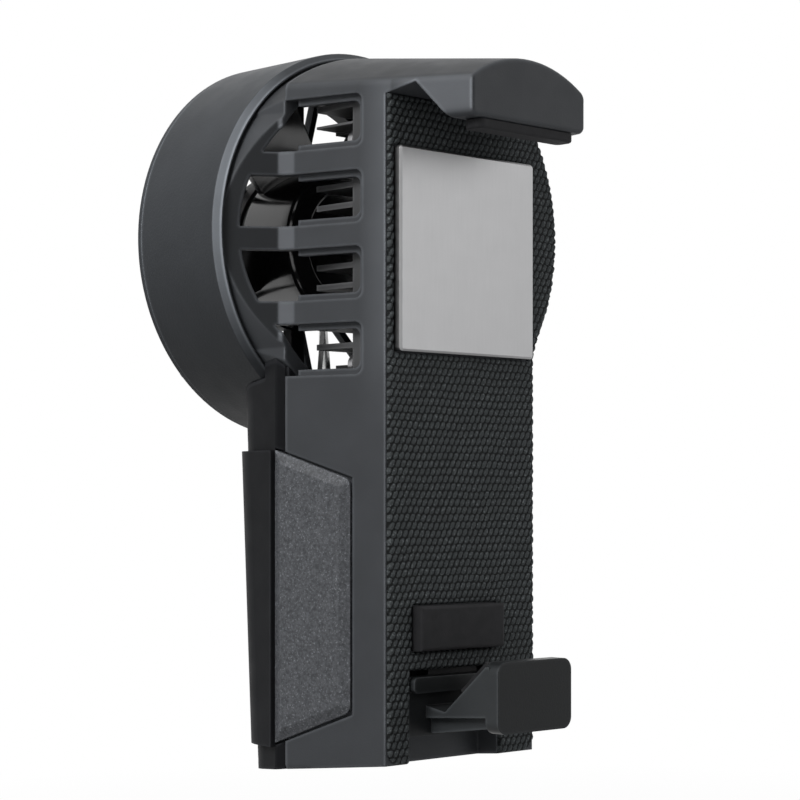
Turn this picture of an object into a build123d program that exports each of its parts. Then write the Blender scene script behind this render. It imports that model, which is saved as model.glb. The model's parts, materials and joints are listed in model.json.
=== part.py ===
from build123d import *
import os
from math import cos, radians, sin, sqrt, tan

os.makedirs("parts", exist_ok=True)

# Phone cooling fan, in millimetres. The origin is the middle of the cold plate's
# contact face. The phone lies on the -Y side, X runs across it and +Z points up.

# Phone side
plate_width = 23.2
plate_height = 24.2
plate_proud = 0.8
pad_thickness = 0.6
front_width = 25.2
front_top = 18.1
front_bottom = -60.8
pad_corner = 2.0
pad_gap = 0.15
plate_corner = 0.5
plate_bevel = 0.25

# Housing
wall = 1.6
front_wall = 1.2
side_taper = 15.0
funnel_angle = 53.6
bottom_slope = 4.9
joint_y = 15.0
joint_edge_top = 20.4
joint_crown_top = 25.6
corner_fill_front = 1.2
corner_fill_rear = 0.5
parting_groove = 0.45
parting_depth = 0.6
parting_bevel = 0.4

# Round head
fan_z = 2.9
cheek_reach = 16.8
cheek_height = 20.6
head_radius = 22.7
rim_wall = 1.9
head_rear_y = 19.8
cheek_fillet = 7.0

# Upper hook
hook_reach = 10.7
hook_edge_top = 19.2
hook_crown_top = 22.15
hook_under_z = 14.4
hook_peak = 1.0
hook_peak_share = 0.31
hook_bend_share = 0.49
hook_tip_share = 0.7
hook_bend_drop_share = 0.3
hook_tip_rise_share = 0.04
hook_corner = 0.9
hook_tip_edge = 0.5
hook_side_blend = 1.2
strip_thickness = 1.1
strip_margin = 1.5
strip_depth = 2.8
strip_setback = 0.3
strip_corner = 0.3
strip_round = 0.9

# Vent slots
slot_count = 4
slot_height = 6.2
slot_pitch = 9.0
slot_centre_z = 1.9
slot_front_y = 4.6
slot_rear_y = 16.6
slot_corner = 0.9
slot_step = 0.75
slot_step_depth = 0.7

# Fan ring
lip_wall = 1.0
ring_wall = 2.6
ring_rear_y = 33.3
lip_length = 1.0
lip_bevel = 0.8
lip_clearance = 0.3

# Fan
hub_radius = 10.4
hub_wall = 1.0
hub_front_y = 21.0
hub_depth = 9.0
hub_edge = 0.7
hub_dish_radius = 7.0
hub_dish_depth = 0.5
hub_dish_edge = 0.3
blade_count = 5
blade_tip_gap = 1.0
blade_thickness = 0.9
blade_front_y = 22.6
blade_rear_y = 29.4
blade_root_sweep = 5.6
blade_tip_sweep = 8.8
blade_camber = 0.9
shaft_radius = 1.0
shaft_play = 0.04
bearing_radius = 1.7
tube_radius = 2.4
magnet_thickness = 0.8
air_gap = 0.35
stator_length = 4.0
pole_count = 6
pole_width = 2.2
pole_core_radius = 4.4
pole_shoe_height = 1.1
pole_slot_width = 0.7
fan_board_thickness = 0.8
frame_thickness = 1.6
frame_clearance = 0.05
frame_band = 1.0
strut_width = 2.2
strut_count = 4

# Inlet grille
grille_thickness = 1.2
grille_rim = 2.8
grille_hub_radius = 10.2
grille_rib_count = 12
grille_rib_width = 0.9
grille_screw_count = 4
grille_screw_radius = 0.6
grille_screw_length = 5.0
screw_end_gap = 0.3
grille_head_radius = 1.05
grille_head_height = 0.6
grille_head_gap = 0.15
grille_edge = 0.5
grille_ring_radius = 8.2
grille_ring_width = 0.5
grille_ring_depth = 0.25
socket_share = 0.55

# Cooling stack
pedestal_side = 20.2
pedestal_gap = 0.2
cell_side = 20.0
cell_thickness = 2.8
cell_plate = 0.7
cell_leg = 1.1
cell_leg_count = 6
thermal_pad_thickness = 0.5
gasket_width = 0.8
sink_margin = 0.8
sink_height = 33.0
sink_base = 1.5
sink_fin_length = 6.4
sink_fin_start = 1.1
sink_fin_pitch = 2.4
sink_fin_thickness = 0.7
sink_screw_inset = 1.2
sink_screw_radius = 0.7
sink_head_radius = 1.3
sink_head_height = 0.8
sink_head_gap = 0.65
sink_boss_radius = 1.5
thread_depth = 2.0

# Lower hook, its tongue and springs
catch_x = -1.4
recess_width = 15.6
recess_top = -49.8
recess_depth = 4.0
recess_wall = 1.2
hook_travel = 16.0
lower_lip_y = -10.4
lower_lip_thickness = 2.0
lower_lip_left = -6.1
lower_lip_right = 6.7
lower_lip_top = -48.4
lower_lip_bottom = -56.8
lower_lip_corner = 1.4
arm_width = 12.0
arm_trough_y = -1.8
arm_trough_z = -54.7
arm_step = 1.5
arm_bevel = 0.6
root_bar_gap = 0.8
root_bar_height = 1.9
root_bar_depth = 1.0
root_bar_round = 0.6
root_bottom = -57.7
ledge_tip_z = -54.9
ledge_root_z = -55.7
flange_inset = 0.9
lower_pad_thickness = 0.7
lower_pad_length = 5.4
tongue_width = 8.4
tongue_thickness = 1.4
tongue_gap = 0.25
crosshead_width = 19.0
crosshead_height = 2.7
crosshead_gap = 0.2
spring_x = 8.2
spring_radius = 1.5
spring_wall = 0.5
spring_top = -17.2
spring_gap = 0.3
ear_width = 2.8
hook_screw_radius = 0.6
hook_screw_head = 1.1
hook_screw_spacing = 6.0
hook_screw_bite = 2.25

# Slider guide, board and socket
guide_width = 22.8
guide_thickness = 1.2
guide_top = -15.2
guide_post_radius = 1.6
guide_post_drop = 3.0
guide_post_spacing = 20.0
board_width = 20.4
board_top = -17.4
board_thickness = 1.2
board_y = 9.4
board_gap = 0.2
socket_width = 8.94
socket_height = 3.26
socket_length = 7.3
socket_wall = 0.3
socket_tongue = 0.7
socket_tongue_width = 6.6
socket_clearance = 0.15
socket_setback = 0.5
chip_side = 5.0
chip_pitch = 10.0
chip_height = 1.0
coil_side = 4.2
coil_pitch = 8.4
coil_height = 2.4
coil_drop = 25.0

# Rear of the handle
rear_shell_top = -6.0
rear_y_top = 25.8
rear_y_bottom = 23.7
rear_corner = 5.6
rear_draw_in = 1.6
rear_wall = 1.5
rear_flank = 1.4
shell_ring_gap = 0.1
sleeve_top = -23.6
sleeve_bottom = -59.4
sleeve_thickness = 0.75
sleeve_gap = 0.05
shell_screw_x = 12.2
shell_screw_drop = 1.2
shell_screw_low = -55.0
shell_screw_radius = 0.7
shell_head_radius = 1.3
shell_head_height = 0.8
shell_screw_bite = 5.0
shell_boss_radius = 1.9

# Grip inserts
insert_front_y = 6.1
insert_rear_top = -23.6
insert_front_top = -27.2
insert_front_bottom = -54.7
insert_rear_bottom = -58.9
insert_thickness = 1.2
insert_pocket = 0.5
insert_bevel = 0.65
insert_bevel_width = 1.2
insert_gap = 0.3
insert_corner = 1.3

# Rubber rest on the phone side
block_width = 14.4
block_top = -42.2
block_bottom = -47.5
block_proud = 1.3
block_edge = 0.4

# Running values for cuts and seats
overrun = 3.0
far = 40.0
seat_gap = 0.05

# Derived places
pad_y = plate_proud
front_y = pad_y + pad_thickness
inner_y = front_y + front_wall
side_slope = tan(radians(side_taper))
tip_y = pad_y - hook_reach
funnel_slope = tan(radians(funnel_angle))
bore_radius = head_radius - rim_wall
ring_radius = head_radius + lip_clearance + lip_wall
sink_width = front_width - sink_margin
sink_screw_x = sink_width / 2 - sink_screw_inset
sink_screw_z = sink_height / 2 - slot_centre_z - sink_screw_inset
hub_rear_y = hub_front_y + hub_depth
fan_board_front = hub_rear_y + air_gap
frame_front = fan_board_front + fan_board_thickness
ring_inner = ring_radius - ring_wall
blade_tip_radius = ring_inner - blade_tip_gap
grille_rear_y = ring_rear_y + grille_thickness
pedestal_rear = inner_y + pedestal_gap
cell_rear = pedestal_rear + cell_thickness
sink_front = cell_rear + thermal_pad_thickness
fin_front = sink_front + sink_base
recess_y = pad_y + recess_depth
tongue_front = inner_y + tongue_gap
tongue_rear = tongue_front + tongue_thickness
tongue_mid = (tongue_front + tongue_rear) / 2
crosshead_bottom = recess_top + recess_wall + hook_travel + crosshead_gap
crosshead_top = crosshead_bottom + crosshead_height
guide_front = tongue_rear + tongue_gap
guide_rear = guide_front + guide_thickness
spring_y = inner_y + spring_gap + spring_radius
board_rear = board_y + board_thickness
socket_y = board_rear + socket_height / 2
fan_axis = Axis((0, 0, fan_z), (0, 1, 0))
grille_screw_ring = (ring_radius + ring_inner) / 2
shell_screw_high = fan_z - head_radius - shell_screw_drop


def at_y(y):
    """Sketch plane square to Y, with X across and Z up."""
    return Plane.XZ.offset(-y)


def side_x(y):
    """Half width of the body between its flat side walls at depth y."""
    return front_width / 2 + (y - pad_y) * side_slope


def bottom_z(y):
    """Height of the sloping underside at depth y."""
    return front_bottom - (y - pad_y) * tan(radians(bottom_slope))


def edge_z(y):
    """Height of the line where the side walls meet the crowned top."""
    share = (y - tip_y) / (joint_y - tip_y)
    return hook_edge_top + (joint_edge_top - hook_edge_top) * share


def crown_z(y):
    """Height of the crowned top in its middle."""
    share = (y - tip_y) / (joint_y - tip_y)
    return hook_crown_top + (joint_crown_top - hook_crown_top) * share


def crowned_section(y):
    """Closed outline of the body at depth y, for a ruled loft."""
    half = side_x(y)
    low = bottom_z(head_rear_y)
    with BuildSketch(at_y(y)) as section:
        with BuildLine():
            Polyline((-half, edge_z(y)), (-half, low), (half, low), (half, edge_z(y)))
            ThreePointArc((half, edge_z(y)), (0, crown_z(y)), (-half, edge_z(y)))
        make_face()
        fillet(section.vertices().group_by(Axis.Z)[-1], hook_side_blend)
    return section.sketch.face()


def left_plan(inset):
    """Plan outline of all that lies outside the left side wall and its funnel."""
    step = inset / cos(radians(side_taper))
    front = (-side_x(-far) + step, -far)
    fill_y = joint_y - corner_fill_front
    fill_start = (-side_x(fill_y) + step, fill_y)
    fill_end_y = joint_y + inset * side_slope + corner_fill_rear
    fill_end = (-side_x(joint_y) + step - corner_fill_rear * funnel_slope, fill_end_y)
    reach = head_radius + overrun
    rear = (-reach, fill_end[1] + (reach + fill_end[0]) / funnel_slope)
    return Polyline(front, fill_start, fill_end, rear, (-far - far, rear[1]), (-far - far, -far), close=True)


def underside_outline(y_start, y_end):
    """Outline of the space below the sloping underside."""
    return Polyline(
        (y_start, bottom_z(y_start)),
        (y_end, bottom_z(y_end)),
        (y_end, bottom_z(y_end) - far),
        (y_start, bottom_z(y_end) - far),
        close=True,
    )


def rear_y(z):
    """Depth of the handle's back at height z."""
    share = (z - front_bottom) / (sleeve_top - front_bottom)
    return rear_y_bottom + (rear_y_top - rear_y_bottom) * share


def handle_section(z, grow):
    """Plan outline of the handle's rear half at height z, grown outwards."""
    flank_y = joint_y + rear_flank
    flank_x = side_x(flank_y) + grow
    back_x = flank_x - rear_draw_in
    back_y = rear_y(z) + grow
    with BuildSketch(Plane.XY.offset(z)) as section:
        with BuildLine():
            Polyline(
                (-side_x(joint_y) - grow, joint_y),
                (-flank_x, flank_y),
                (-back_x, back_y),
                (back_x, back_y),
                (flank_x, flank_y),
                (side_x(joint_y) + grow, joint_y),
                close=True,
            )
        make_face()
        fillet(section.vertices().group_by(Axis.Y)[-1], rear_corner + grow)
    return section.sketch.face()


def parting_outline(side):
    """Plan outline of the groove where the rear shell meets the housing, on one side."""
    wall_x = side_x(joint_y)
    groove_y = joint_y + parting_groove
    return Polyline(
        (side * (wall_x - parting_depth), joint_y),
        (side * (wall_x - parting_depth), groove_y),
        (side * (wall_x - parting_bevel), groove_y),
        (side * (wall_x + overrun), groove_y + parting_bevel + overrun),
        (side * (wall_x + overrun), joint_y),
        close=True,
    )


def insert_plane():
    """Sketch plane on the left side wall, its x pointing to the front edge."""
    lean = radians(side_taper)
    return Plane(
        origin=(-front_width / 2, pad_y, 0),
        x_dir=(sin(lean), -cos(lean), 0),
        z_dir=(-cos(lean), -sin(lean), 0),
    )


def insert_outline(grow):
    """Outline of a grip insert on the side wall, grown by a clearance."""
    run = 1 / cos(radians(side_taper))
    front = (insert_front_y - pad_y) * run - grow
    rear = (joint_y + rear_flank - pad_y) * run
    Polygon(
        (-rear, insert_rear_top + grow),
        (-rear, insert_rear_bottom - grow),
        (-front, insert_front_bottom - grow),
        (-front, insert_front_top + grow),
        align=None,
    )


# Places that repeat along the vents, screws and posts
slot_heights = [slot_centre_z + slot_pitch * (i - (slot_count - 1) / 2) for i in range(slot_count)]
sink_screw_places = [(x, z) for x in (-sink_screw_x, sink_screw_x) for z in (-sink_screw_z, sink_screw_z)]
grille_screw_turns = [radians(360 / grille_screw_count * (i + 1 / 2)) for i in range(grille_screw_count)]
grille_screw_places = [(grille_screw_ring * cos(turn), fan_z + grille_screw_ring * sin(turn))
                       for turn in grille_screw_turns]
shell_screw_places = [(x, z) for x in (-shell_screw_x, shell_screw_x)
                      for z in (shell_screw_high, shell_screw_low)]

# Inner space of the housing: the round head, the handle, less the pocket of the lower hook
core_top = joint_edge_top - wall
with BuildPart() as inner_space:
    with BuildSketch(at_y(inner_y)):
        with Locations((0, fan_z)):
            Ellipse(cheek_reach - wall, cheek_height - wall)
    with BuildSketch(at_y(head_rear_y + overrun)):
        with Locations((0, fan_z)):
            Circle(bore_radius)
    loft(ruled=True)
    with BuildSketch(Plane.XY.offset(-far * 2)):
        with BuildLine():
            left_plan(wall)
        make_face()
    extrude(amount=far * 4, mode=Mode.SUBTRACT)
    core_front = side_x(inner_y) - wall / cos(radians(side_taper))
    core_rear = side_x(joint_y) - wall / cos(radians(side_taper))
    core_bottom = bottom_z(joint_y) + wall * 2
    with BuildSketch(Plane.XY.offset(core_bottom)):
        with BuildLine():
            Polyline(
                (-core_front, inner_y),
                (-core_rear, joint_y),
                (core_rear, joint_y),
                (core_front, inner_y),
                close=True,
            )
        make_face()
    extrude(amount=core_top - core_bottom)
    with BuildSketch(at_y(inner_y - overrun)):
        with Locations((catch_x, recess_top + recess_wall - far / 2)):
            Rectangle(recess_width + recess_wall * 2, far)
    extrude(amount=-(recess_y + recess_wall - inner_y + overrun), mode=Mode.SUBTRACT)

# Cutter for the left vents, behind the joint kept inside the bore so that the round rim stays whole
with BuildPart() as left_slots:
    with BuildSketch(Plane.YZ.offset(-far)):
        for z in slot_heights:
            with Locations(((slot_front_y + far) / 2, z)):
                RectangleRounded(far - slot_front_y, slot_height, slot_corner)
    extrude(amount=far - core_front / 2)
    with BuildSketch(at_y(joint_y)):
        Rectangle(far * 4, far * 4)
        with Locations((0, fan_z)):
            Circle(bore_radius, mode=Mode.SUBTRACT)
    extrude(amount=-far * 2, mode=Mode.SUBTRACT)

# Steps inside the left side wall, which leave each vent a smaller opening within its outline
with BuildPart() as slot_frames:
    with BuildSketch(Plane.YZ.offset(-far)):
        for z in slot_heights:
            with Locations(((slot_front_y + far) / 2, z)):
                Rectangle(far - slot_front_y, slot_height)
            with Locations(((slot_front_y + slot_step + far) / 2, z)):
                RectangleRounded(far - slot_front_y - slot_step, slot_height - slot_step * 2, slot_corner,
                                 mode=Mode.SUBTRACT)
    extrude(amount=far - core_front / 2)
    for inset, cut in ((slot_step_depth, Mode.SUBTRACT), (wall, Mode.INTERSECT)):
        with BuildSketch(Plane.XY.offset(-far * 2)):
            with BuildLine():
                left_plan(inset)
            make_face()
        extrude(amount=far * 4, mode=cut)
    with BuildSketch(at_y(joint_y - corner_fill_front)):
        Rectangle(far * 4, far * 4)
    extrude(amount=-far * 2, mode=Mode.SUBTRACT)

# Cutter for the pockets of the grip inserts on both sides
with BuildPart() as insert_pockets:
    with BuildSketch(insert_plane().offset(-insert_pocket)):
        insert_outline(insert_gap)
    extrude(amount=overrun)
    mirror(about=Plane.YZ)

# Housing: ruled body with the hook, round head, slots, pocket and bosses
with BuildPart() as front_housing:
    with BuildSketch(at_y(pad_y)):
        with Locations((0, fan_z)):
            Ellipse(cheek_reach, cheek_height)
    with BuildSketch(at_y(head_rear_y)):
        with Locations((0, fan_z)):
            Circle(head_radius)
    loft(ruled=True)
    with BuildSketch(Plane.XY.offset(-far * 2)):
        with BuildLine():
            left_plan(0)
        make_face()
    extrude(amount=far * 4, mode=Mode.SUBTRACT)
    tip_section = crowned_section(tip_y)
    rear_section = crowned_section(head_rear_y)
    loft([tip_section, rear_section], ruled=True)
    # Behind the joint only the round head goes on
    with BuildSketch(at_y(joint_y)):
        Rectangle(far * 4, far * 4)
        with Locations((0, fan_z)):
            Circle(head_radius, mode=Mode.SUBTRACT)
    extrude(amount=-far, mode=Mode.SUBTRACT)
    # Space for the phone, with the cranked underside of the hook
    hook_drop = front_top - hook_under_z
    tip_rise = hook_tip_rise_share * hook_drop
    with BuildSketch(Plane.YZ):
        with BuildLine():
            Polyline(
                (tip_y - overrun, -far * 2),
                (front_y, -far * 2),
                (front_y, front_top),
                (pad_y - hook_peak_share * hook_reach, front_top + hook_peak),
                (pad_y - hook_bend_share * hook_reach, front_top - hook_bend_drop_share * hook_drop),
                (pad_y - hook_tip_share * hook_reach, hook_under_z + tip_rise),
                (tip_y - overrun, hook_under_z),
                close=True,
            )
        make_face()
    extrude(amount=far, both=True, mode=Mode.SUBTRACT)
    under_edges = front_housing.edges().filter_by_position(Axis.Z, hook_under_z - seat_gap, hook_under_z + tip_rise)
    fillet(under_edges.filter_by(Axis.X, reverse=True), hook_corner)
    fillet(front_housing.faces().sort_by(Axis.Y)[0].edges(), hook_tip_edge)
    with BuildSketch(Plane.YZ):
        with BuildLine():
            underside_outline(tip_y, head_rear_y)
        make_face()
    extrude(amount=far, both=True, mode=Mode.SUBTRACT)
    add(inner_space.part, mode=Mode.SUBTRACT)
    # Opening for the cold plate's pedestal
    with BuildSketch(at_y(front_y - overrun)):
        Rectangle(pedestal_side + pedestal_gap * 2, pedestal_side + pedestal_gap * 2)
    extrude(amount=-(overrun + front_wall + overrun), mode=Mode.SUBTRACT)
    # Pocket of the lower hook, open at the bottom, and the tongue's way through its roof
    with BuildSketch(at_y(front_y - overrun)):
        with Locations((catch_x, recess_top - far / 2)):
            Rectangle(recess_width, far)
    extrude(amount=-(recess_y - front_y + overrun), mode=Mode.SUBTRACT)
    with BuildSketch(Plane.XY.offset(recess_top - overrun)):
        with Locations((0, tongue_mid)):
            Rectangle(tongue_width + tongue_gap * 2, tongue_thickness + tongue_gap * 2)
    extrude(amount=overrun + recess_wall + overrun, mode=Mode.SUBTRACT)
    # Vents on both sides
    add(left_slots.part, mode=Mode.SUBTRACT)
    add(slot_frames.part)
    with BuildSketch(Plane.YZ.offset(core_front / 2)):
        for z in slot_heights:
            with Locations(((slot_front_y + slot_rear_y) / 2, z)):
                RectangleRounded(slot_rear_y - slot_front_y, slot_height, slot_corner)
    extrude(amount=far, mode=Mode.SUBTRACT)
    # Screw bosses of the heat sink and of the rear shell
    with BuildSketch(at_y(inner_y)):
        with Locations(*sink_screw_places):
            Circle(sink_boss_radius)
    extrude(amount=-(sink_front - inner_y))
    with BuildSketch(at_y(joint_y)):
        with Locations(*shell_screw_places):
            Circle(shell_boss_radius)
    extrude(amount=shell_screw_bite + wall)
    with BuildSketch(at_y(sink_front)):
        with Locations(*sink_screw_places):
            Circle(sink_screw_radius)
    extrude(amount=thread_depth, mode=Mode.SUBTRACT)
    with BuildSketch(at_y(joint_y)):
        with Locations(*shell_screw_places):
            Circle(shell_screw_radius)
    extrude(amount=shell_screw_bite, mode=Mode.SUBTRACT)
    # Rails that the slider guide rests on
    rail_x = (guide_width - wall) / 2
    with BuildSketch(at_y(inner_y)):
        with Locations(*[(x, (guide_top + recess_top) / 2) for x in (-rail_x, rail_x)]):
            Rectangle(wall, guide_top - recess_top)
    extrude(amount=-(guide_front - inner_y))
    # Opening for the socket in the underside
    with BuildSketch(Plane.XY.offset(bottom_z(joint_y) - overrun)):
        with Locations((0, socket_y)):
            SlotOverall(socket_width + socket_clearance * 2, socket_height + socket_clearance * 2)
    extrude(amount=overrun + wall * 3, mode=Mode.SUBTRACT)
    add(insert_pockets.part, mode=Mode.SUBTRACT)
front_housing.part.label = "front_housing"
export_step(front_housing.part, "parts/front_housing.step")

# Woven pad: outline of the phone side with the round cheek and its hollow blend
cheek_chord = cheek_height * sqrt(1 - (front_width / 2 / cheek_reach) ** 2)
with BuildPart() as woven_pad:
    with BuildSketch(at_y(front_y)) as pad_outline:
        with Locations((0, fan_z)):
            Ellipse(cheek_reach, cheek_height)
        with Locations((-far, fan_z)):
            Rectangle(far * 2, far * 2, mode=Mode.SUBTRACT)
        with Locations((0, front_top + far / 2)):
            Rectangle(far * 2, far, mode=Mode.SUBTRACT)
        with Locations((0, (front_top + front_bottom) / 2)):
            Rectangle(front_width, front_top - front_bottom)
        fillet(pad_outline.vertices().group_by(Axis.Y)[0], pad_corner)
        low_bend = pad_outline.vertices().sort_by_distance((front_width / 2, fan_z - cheek_chord))[0]
        fillet(low_bend, cheek_fillet)
        Rectangle(plate_width + pad_gap * 2, plate_height + pad_gap * 2, mode=Mode.SUBTRACT)
        with Locations((catch_x, (block_top + block_bottom) / 2)):
            Rectangle(block_width + pad_gap * 2, block_top - block_bottom + pad_gap * 2, mode=Mode.SUBTRACT)
        with Locations((catch_x, recess_top - far / 2)):
            Rectangle(recess_width, far, mode=Mode.SUBTRACT)
    extrude(amount=pad_thickness)
woven_pad.part.label = "woven_pad"
export_step(woven_pad.part, "parts/woven_pad.step")

# Cold plate with the pedestal that reaches through the housing to the cell
with BuildPart() as cold_plate:
    with BuildSketch(at_y(front_y)):
        RectangleRounded(plate_width, plate_height, plate_corner)
    extrude(amount=front_y)
    chamfer(cold_plate.faces().sort_by(Axis.Y)[0].edges(), plate_bevel)
    with BuildSketch(at_y(front_y)):
        Rectangle(pedestal_side, pedestal_side)
    extrude(amount=-(pedestal_rear - front_y))
cold_plate.part.label = "cold_plate"
export_step(cold_plate.part, "parts/cold_plate.step")

# Thermoelectric cell: two ceramic plates with a field of legs between them
with BuildPart() as peltier_cell:
    with BuildSketch(at_y(pedestal_rear)):
        Rectangle(cell_side, cell_side)
    extrude(amount=-cell_plate)
    with BuildSketch(at_y(cell_rear - cell_plate)):
        Rectangle(cell_side, cell_side)
    extrude(amount=-cell_plate)
    leg_pitch = (cell_side - cell_leg) / cell_leg_count
    with BuildSketch(at_y(pedestal_rear + cell_plate)):
        with GridLocations(leg_pitch, leg_pitch, cell_leg_count, cell_leg_count):
            Rectangle(cell_leg, cell_leg)
    extrude(amount=-(cell_thickness - cell_plate * 2))
peltier_cell.part.label = "peltier_cell"
export_step(peltier_cell.part, "parts/peltier_cell.step")

# Thermal pad between the cell and the heat sink
with BuildPart() as thermal_pad:
    with BuildSketch(at_y(cell_rear)):
        Rectangle(cell_side, cell_side)
    extrude(amount=-thermal_pad_thickness)
thermal_pad.part.label = "thermal_pad"
export_step(thermal_pad.part, "parts/thermal_pad.step")

# Foam gasket around the cell
gasket_inner = pedestal_side + pedestal_gap * 2
with BuildPart() as plate_gasket:
    with BuildSketch(at_y(inner_y)):
        Rectangle(gasket_inner + gasket_width * 2, gasket_inner + gasket_width * 2)
        Rectangle(gasket_inner, gasket_inner, mode=Mode.SUBTRACT)
    extrude(amount=-(sink_front - inner_y))
plate_gasket.part.label = "plate_gasket"
export_step(plate_gasket.part, "parts/plate_gasket.step")

# Heat sink: base plate with horizontal fins, cleared around its screws
fin_low = slot_centre_z - sink_height / 2 + sink_fin_start
fin_heights = [fin_low + sink_fin_pitch * i for i in range(int((sink_height - sink_fin_start) // sink_fin_pitch) + 1)]
with BuildPart() as heat_sink:
    with BuildSketch(at_y(sink_front)):
        with Locations((0, slot_centre_z)):
            Rectangle(sink_width, sink_height)
    extrude(amount=-sink_base)
    with BuildSketch(at_y(fin_front)):
        with Locations(*[(0, z) for z in fin_heights]):
            Rectangle(sink_width, sink_fin_thickness)
    extrude(amount=-sink_fin_length)
    head_room = (sink_head_radius + sink_head_gap) * 2
    with BuildSketch(at_y(fin_front)):
        with Locations(*sink_screw_places):
            Rectangle(head_room, head_room)
    extrude(amount=-far, mode=Mode.SUBTRACT)
    with BuildSketch(at_y(sink_front)):
        with Locations(*sink_screw_places):
            Circle(sink_screw_radius + seat_gap)
    extrude(amount=-sink_base, mode=Mode.SUBTRACT)
heat_sink.part.label = "heat_sink"
export_step(heat_sink.part, "parts/heat_sink.step")

# Heat sink screws
with BuildPart() as heat_sink_screws:
    with BuildSketch(at_y(fin_front)):
        with Locations(*sink_screw_places):
            Circle(sink_head_radius)
    extrude(amount=-sink_head_height)
    with BuildSketch(at_y(fin_front)):
        with Locations(*sink_screw_places):
            Circle(sink_screw_radius)
    extrude(amount=sink_base + thread_depth - seat_gap)
heat_sink_screws.part.label = "heat_sink_screws"
export_step(heat_sink_screws.part, "parts/heat_sink_screws.step")

# Rubber strip under the fixed hook
with BuildPart() as upper_hook_pad:
    strip_width = side_x(tip_y) * 2 - strip_margin * 2
    strip_y = tip_y + strip_setback + strip_depth / 2
    with BuildSketch(Plane.XY.offset(hook_under_z)):
        with Locations((0, strip_y)):
            RectangleRounded(strip_width, strip_depth, strip_round)
    extrude(amount=-strip_thickness)
    fillet(upper_hook_pad.faces().sort_by(Axis.Z)[0].edges(), strip_corner)
upper_hook_pad.part.label = "upper_hook_pad"
export_step(upper_hook_pad.part, "parts/upper_hook_pad.step")

# Rubber rest on the phone side
with BuildPart() as rubber_block:
    with BuildSketch(at_y(front_y)):
        with Locations((catch_x, (block_top + block_bottom) / 2)):
            Rectangle(block_width, block_top - block_bottom)
    extrude(amount=pad_thickness + block_proud)
    fillet(rubber_block.faces().sort_by(Axis.Y)[0].edges(), block_edge)
rubber_block.part.label = "rubber_block"
export_step(rubber_block.part, "parts/rubber_block.step")

# Fan ring: round shroud with a bevelled lip around the housing's rim
with BuildPart() as fan_ring:
    lip_y = head_rear_y - lip_length
    rim_z = fan_z + head_radius + lip_clearance
    outer_z = fan_z + ring_radius
    with BuildSketch(Plane.YZ):
        with BuildLine():
            Polyline(
                (lip_y, rim_z),
                (lip_y, outer_z - lip_bevel),
                (lip_y + lip_bevel, outer_z),
                (ring_rear_y, outer_z),
                (ring_rear_y, fan_z + ring_inner),
                (head_rear_y, fan_z + ring_inner),
                (head_rear_y, rim_z),
                close=True,
            )
        make_face()
    revolve(axis=fan_axis)
    with BuildSketch(at_y(ring_rear_y)):
        with Locations(*grille_screw_places):
            Circle(grille_screw_radius)
    extrude(amount=grille_screw_length, mode=Mode.SUBTRACT)
fan_ring.part.label = "fan_ring"
export_step(fan_ring.part, "parts/fan_ring.step")

# Motor mount: band in the ring, struts, disc and bearing tube
with BuildPart() as fan_frame:
    band_radius = ring_inner - frame_clearance
    with BuildSketch(at_y(frame_front)):
        with Locations((0, fan_z)):
            Circle(band_radius)
            Circle(band_radius - frame_band, mode=Mode.SUBTRACT)
    extrude(amount=-(ring_rear_y - frame_front))
    with BuildSketch(at_y(frame_front)):
        with Locations((0, fan_z)):
            Circle(hub_radius)
            with PolarLocations(band_radius / 2, strut_count):
                Rectangle(band_radius - frame_band / 2, strut_width)
    extrude(amount=-frame_thickness)
    tube_front = hub_front_y + hub_wall + air_gap
    with BuildSketch(at_y(frame_front)):
        with Locations((0, fan_z)):
            Circle(tube_radius)
    extrude(amount=frame_front - tube_front)
    with BuildSketch(at_y(tube_front)):
        with Locations((0, fan_z)):
            Circle(bearing_radius)
    extrude(amount=-(frame_front - tube_front), mode=Mode.SUBTRACT)
fan_frame.part.label = "fan_frame"
export_step(fan_frame.part, "parts/fan_frame.step")

# Sleeve bearing
with BuildPart() as bearing:
    with BuildSketch(at_y(tube_front)):
        with Locations((0, fan_z)):
            Circle(bearing_radius)
            Circle(shaft_radius + shaft_play, mode=Mode.SUBTRACT)
    extrude(amount=-(frame_front - tube_front))
bearing.part.label = "bearing"
export_step(bearing.part, "parts/bearing.step")

# Stator: core with poles and their shoes
magnet_outer = hub_radius - hub_wall
magnet_inner = magnet_outer - magnet_thickness
stator_radius = magnet_inner - air_gap
stator_front = fan_board_front - air_gap - stator_length
with BuildPart() as stator:
    with BuildSketch(at_y(stator_front)):
        with Locations((0, fan_z)):
            Circle(stator_radius)
            Circle(stator_radius - pole_shoe_height, mode=Mode.SUBTRACT)
            with PolarLocations(stator_radius, pole_count, start_angle=180 / pole_count):
                Rectangle(pole_shoe_height * 3, pole_slot_width, mode=Mode.SUBTRACT)
            Circle(pole_core_radius)
            with PolarLocations(stator_radius / 2, pole_count):
                Rectangle(stator_radius - pole_shoe_height / 2, pole_width)
            Circle(tube_radius, mode=Mode.SUBTRACT)
    extrude(amount=-stator_length)
stator.part.label = "stator"
export_step(stator.part, "parts/stator.step")

# Fan driver board behind the stator
with BuildPart() as fan_board:
    with BuildSketch(at_y(fan_board_front)):
        with Locations((0, fan_z)):
            Circle(hub_radius - air_gap)
            Circle(tube_radius, mode=Mode.SUBTRACT)
    extrude(amount=-fan_board_thickness)
fan_board.part.label = "fan_board"
export_step(fan_board.part, "parts/fan_board.step")

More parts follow.
